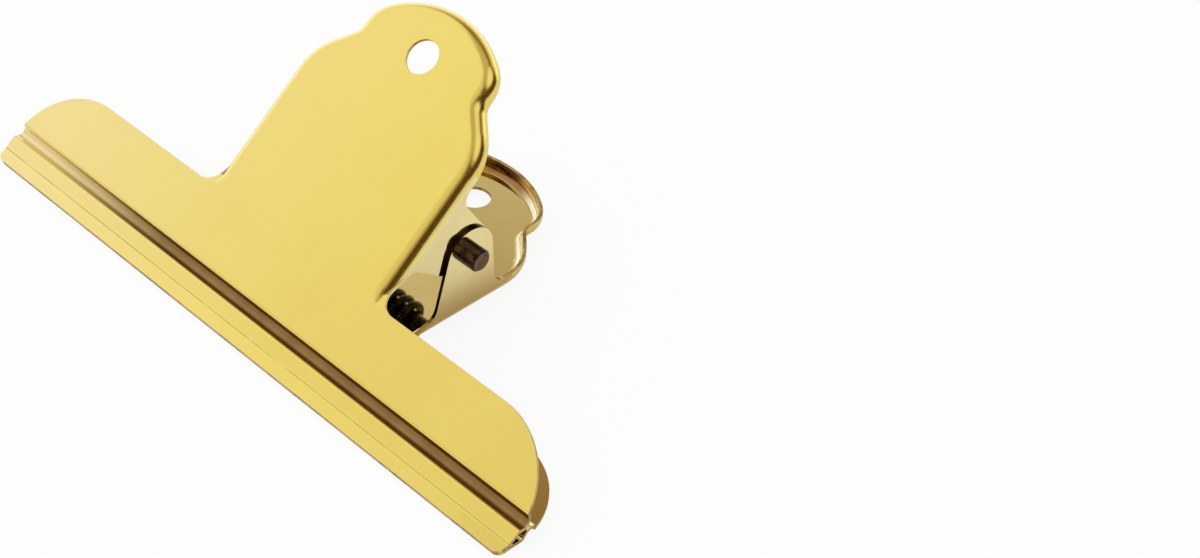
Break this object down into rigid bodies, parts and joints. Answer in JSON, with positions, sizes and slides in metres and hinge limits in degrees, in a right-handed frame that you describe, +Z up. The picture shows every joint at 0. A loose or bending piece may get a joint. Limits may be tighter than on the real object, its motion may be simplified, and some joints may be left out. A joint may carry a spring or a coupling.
{
  "type": "bulldog clip",
  "caption": "Wide gold bulldog clip: stamped plates hinged on a pivot pin, with a torsion spring that closes the jaw.",
  "frame": {"origin": "centre of the bounding box on the ground, with the clip lying on its back plate", "axes": "+X along the jaw, +Y from the jaw to the handles along the back plate, +Z up out of the back plate"},
  "size_m": [0.145, 0.0737, 0.0476],
  "materials": {
    "plate": "satin brass plating on sheet steel, brighter on the inner faces",
    "pin": "blackened steel, semi-gloss",
    "spring": "black oiled spring wire, semi-gloss"
  },
  "bodies": {
    "back": {"back_plate": "plate", "pivot_pin": "pin", "spring": "spring"},
    "front": {"front_plate": "plate"}
  },
  "joints": [
    {"name": "jaw_hinge", "type": "hinge", "parent": "back", "child": "front", "pos_m": [0, 0.00181, 0.01498], "axis": [-1, 0, 0], "range_deg": [0, 70], "stiffness_Nm_per_rad": 0.5, "springref_deg": -65.89, "deforming": ["spring"]}
  ]
}
